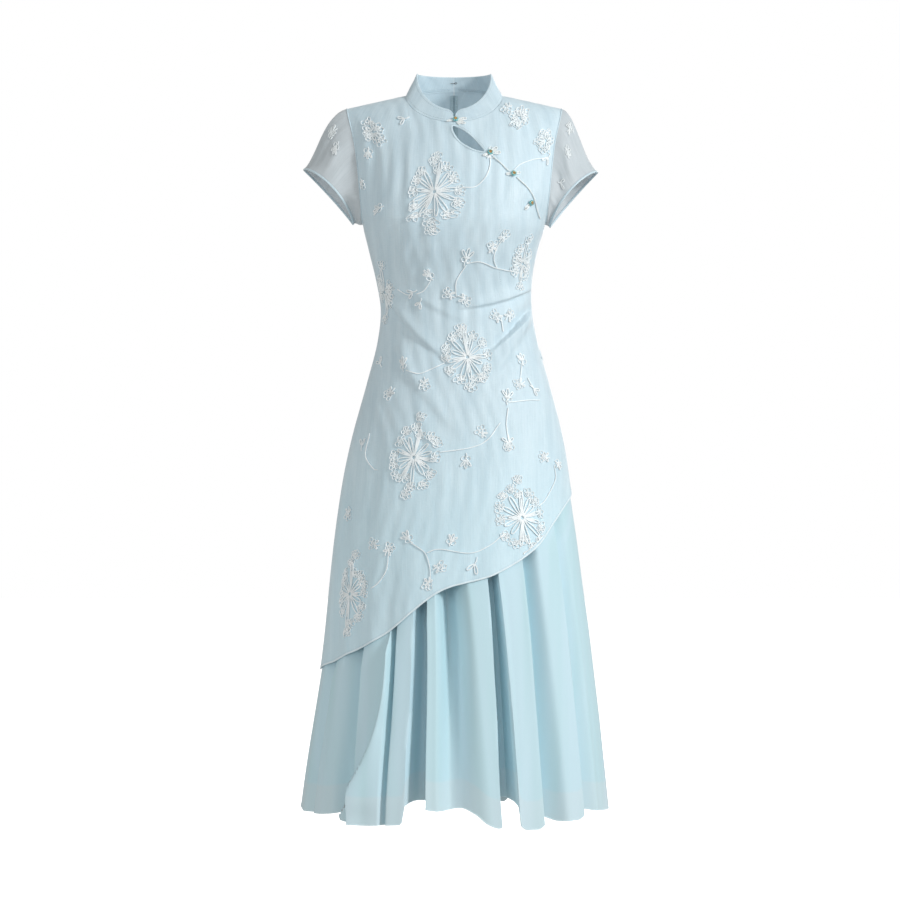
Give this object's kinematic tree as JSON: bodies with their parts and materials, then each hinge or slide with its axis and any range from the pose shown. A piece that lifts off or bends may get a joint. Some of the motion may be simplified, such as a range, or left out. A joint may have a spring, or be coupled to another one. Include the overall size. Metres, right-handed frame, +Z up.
{
  "type": "a-line dress",
  "caption": "Worn pale blue a-line midi dress: stand collar, keyhole with knot fastenings, sheer short sleeves, slanting embroidered overlay and a fluted chiffon underskirt.",
  "frame": {"origin": "middle of the neck at the height of the neck ends of the shoulder seams, where the wearer's shoulders carry the dress", "axes": "+Z up, -Y out of the front, +X to the wearer's left"},
  "size_m": [0.492, 0.405, 1.1913],
  "materials": {
    "organza": "slubbed translucent weave over a blue ground, white thread embroidery",
    "chiffon": "soft matt crinkle-free chiffon, paler at the sheer hem",
    "sheer": "single sheer organza layer",
    "binding": "narrow smooth bound or rolled edge",
    "cord": "white satin cord",
    "bead": "glossy turquoise",
    "bead_eye": "gold coloured centre",
    "tape": "woven zip tape",
    "slider_metal": "painted to match the cloth",
    "hook_metal": "black wire"
  },
  "bodies": {
    "dress": {"back_left": "organza", "back_right": "organza", "bead_keyhole": "bead", "bead_keyhole_eye": "bead_eye", "bead_lower": "bead", "bead_lower_eye": "bead_eye", "bead_neck": "bead", "bead_neck_eye": "bead_eye", "bead_upper": "bead", "bead_upper_eye": "bead_eye", "collar_left": "organza", "collar_right": "organza", "eye": "hook_metal", "frog_keyhole_1": "cord", "frog_keyhole_2": "cord", "frog_keyhole_3": "cord", "frog_lower_1": "cord", "frog_neck_1": "cord", "frog_neck_2": "cord", "frog_neck_3": "cord", "frog_neck_4": "cord", "frog_upper_1": "cord", "frog_upper_2": "cord", "front": "organza", "hook": "hook_metal", "keyhole_binding": "binding", "overlay_hem_back_left": "binding", "overlay_hem_back_right": "binding", "overlay_hem_front": "binding", "piping_lower": "cord", "piping_upper": "cord", "skirt_back": "chiffon", "skirt_front": "chiffon", "sleeve_left": "sheer", "sleeve_left_binding": "binding", "sleeve_right": "sheer", "sleeve_right_binding": "binding", "zip_bail": "slider_metal", "zip_slider": "slider_metal", "zip_tape": "tape"},
    "pull": {"zip_pull": "slider_metal"}
  },
  "joints": [
    {"name": "pull_swing", "type": "hinge", "parent": "dress", "child": "pull", "pos_m": [0, 0.06738, -0.00453], "axis": [1, 0, 0], "range_deg": [0, 140]}
  ]
}
